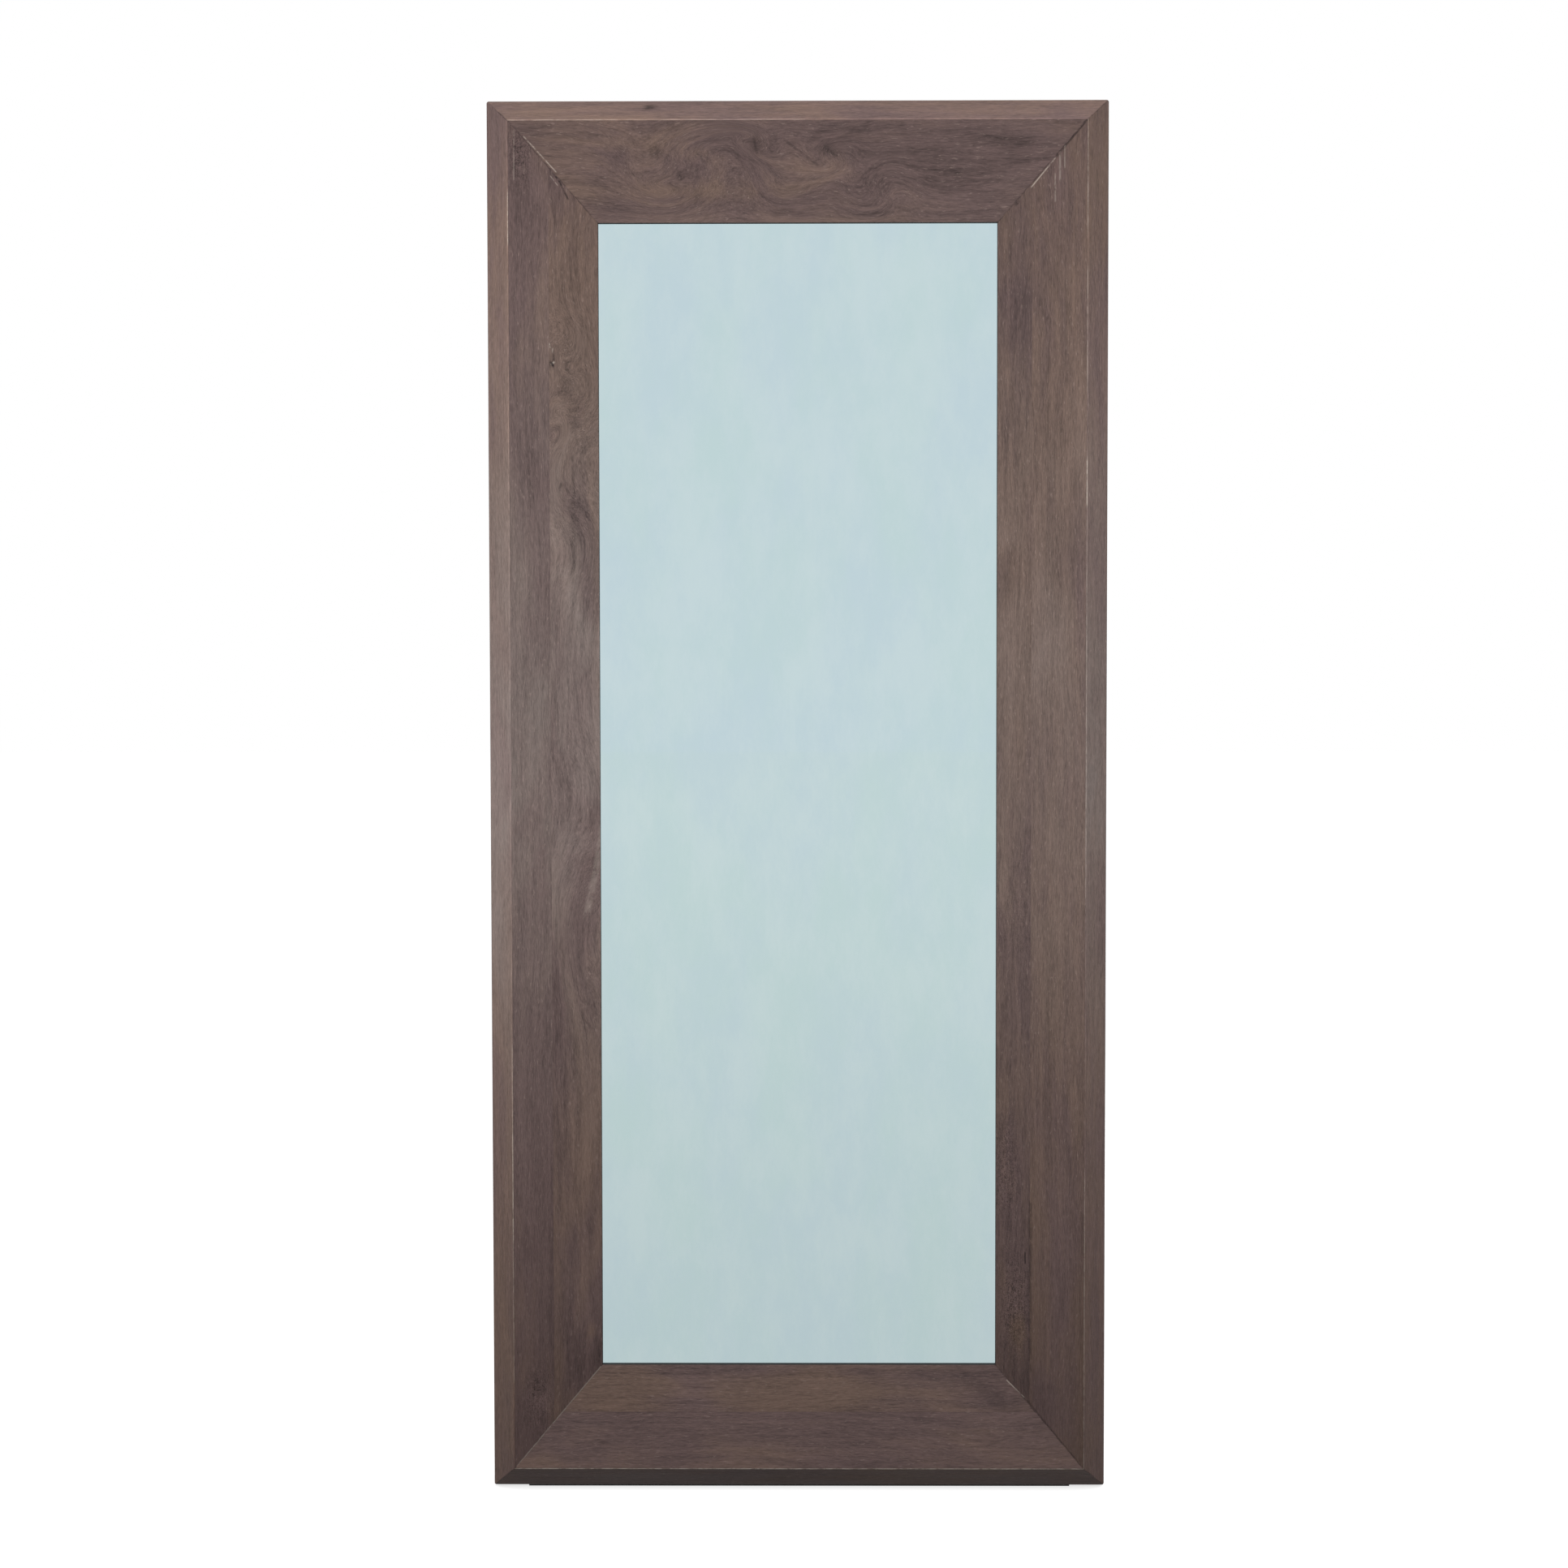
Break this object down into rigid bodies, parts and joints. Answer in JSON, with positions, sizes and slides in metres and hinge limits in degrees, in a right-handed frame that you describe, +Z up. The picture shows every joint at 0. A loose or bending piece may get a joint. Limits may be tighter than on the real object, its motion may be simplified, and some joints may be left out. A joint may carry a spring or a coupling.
{
  "type": "leaning floor mirror",
  "caption": "Tall floor mirror in a deep mitred wooden frame, with chamfered outer boards, face boards that slope in to the glass, and swinging rings behind.",
  "frame": {"origin": "middle of the footprint on the floor, halfway through the whole depth", "axes": "+Z up along the mirror's height, +X to the viewer's right, and the front with the glass faces -Y"},
  "size_m": [0.8, 0.0932, 1.8028],
  "materials": {
    "stained_wood": "grey-brown stained hardwood, satin",
    "mirror_glass": "silvered float glass, faint green-blue tint",
    "hardboard": "plain brown hardboard",
    "plywood": "raw plywood",
    "pine": "planed softwood",
    "zinc_steel": "zinc-plated steel",
    "rubber": "matt black rubber"
  },
  "bodies": {
    "frame": {"outer_board_left": "stained_wood", "outer_board_right": "stained_wood", "outer_board_top": "stained_wood", "outer_board_bottom": "stained_wood", "face_left_outer_strip": "stained_wood", "face_left_inner_strip": "stained_wood", "face_right_outer_strip": "stained_wood", "face_right_inner_strip": "stained_wood", "face_top_board": "stained_wood", "face_bottom_outer_strip": "stained_wood", "face_bottom_inner_strip": "stained_wood", "mirror_glass": "mirror_glass", "glass_backing_sheet": "hardboard", "back_panel": "plywood", "wedge_left_lower": "pine", "wedge_left_middle": "pine", "wedge_left_upper": "pine", "wedge_right_lower": "pine", "wedge_right_middle": "pine", "wedge_right_upper": "pine", "wedge_top_middle": "pine", "wedge_bottom_middle": "pine", "corner_block_bottom_left": "pine", "corner_block_bottom_right": "pine", "corner_block_top_right": "pine", "corner_block_top_left": "pine", "panel_screw_left_1": "zinc_steel", "panel_screw_left_2": "zinc_steel", "panel_screw_left_3": "zinc_steel", "panel_screw_left_4": "zinc_steel", "panel_screw_left_5": "zinc_steel", "panel_screw_right_1": "zinc_steel", "panel_screw_right_2": "zinc_steel", "panel_screw_right_3": "zinc_steel", "panel_screw_right_4": "zinc_steel", "panel_screw_right_5": "zinc_steel", "panel_screw_top_1": "zinc_steel", "panel_screw_top_2": "zinc_steel", "panel_screw_top_3": "zinc_steel", "panel_screw_bottom_1": "zinc_steel", "panel_screw_bottom_2": "zinc_steel", "panel_screw_bottom_3": "zinc_steel", "hanger_strap_left": "zinc_steel", "hanger_strap_right": "zinc_steel", "hanger_screw_left_1": "zinc_steel", "hanger_screw_left_2": "zinc_steel", "hanger_screw_right_1": "zinc_steel", "hanger_screw_right_2": "zinc_steel", "floor_grip_strip": "rubber", "wall_bumper_top_left": "rubber", "wall_bumper_top_right": "rubber", "wall_bumper_bottom_left": "rubber", "wall_bumper_bottom_right": "rubber"},
    "left_ring": {"hanger_ring_left": "zinc_steel"},
    "right_ring": {"hanger_ring_right": "zinc_steel"}
  },
  "joints": [
    {"name": "left_ring_swing", "type": "hinge", "parent": "frame", "child": "left_ring", "pos_m": [-0.338, 0.0389, 1.5028], "axis": [1, 0, 0], "range_deg": [0, 180]},
    {"name": "right_ring_swing", "type": "hinge", "parent": "frame", "child": "right_ring", "pos_m": [0.338, 0.0389, 1.5028], "axis": [1, 0, 0], "range_deg": [0, 180]}
  ]
}
